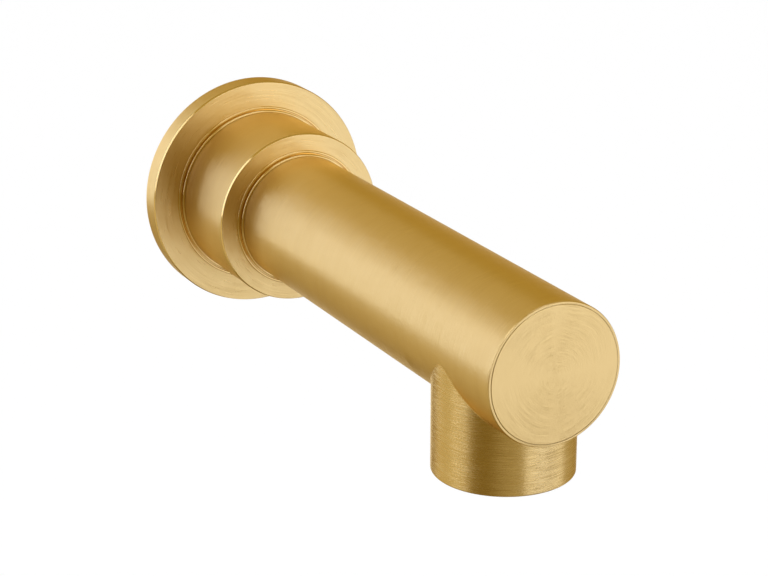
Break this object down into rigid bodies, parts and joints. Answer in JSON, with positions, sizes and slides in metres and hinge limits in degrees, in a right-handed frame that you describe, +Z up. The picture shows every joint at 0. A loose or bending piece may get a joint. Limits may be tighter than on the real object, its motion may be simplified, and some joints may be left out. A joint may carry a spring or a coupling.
{
  "type": "bath spout",
  "caption": "Wall-mounted bath spout in brushed gold brass: round flange, stepped neck, straight tube with a flat end cap and a short round outlet leg under the nose.",
  "frame": {"origin": "mouth of the inlet thread, on the tube axis in the plane of the finished wall", "axes": "+Z up, +Y into the wall; the spout reaches out along -Y and its outlet points along -Z"},
  "size_m": [0.07, 0.1806, 0.07],
  "materials": {
    "flange_gold": "brushed in rings",
    "neck_gold": "brushed in rings",
    "body_gold": "brushed round the tube and the leg",
    "cap_gold": "brushed in loose circles",
    "raw_brass": "turned",
    "screw_steel": "plain",
    "seal_rubber": "matt",
    "gasket_foam": "closed-cell foam",
    "straightener_plastic": "satin"
  },
  "bodies": {
    "root": {"wall_flange": "flange_gold", "wall_gasket": "gasket_foam", "neck_collar": "neck_gold", "spout_body": "body_gold", "end_cap": "cap_gold", "inlet_adapter": "raw_brass", "adapter_seal_rear": "seal_rubber", "adapter_seal_front": "seal_rubber", "set_screw": "screw_steel", "straightener_washer": "seal_rubber", "stream_straightener": "straightener_plastic", "outlet_ring": "raw_brass"}
  },
  "joints": []
}
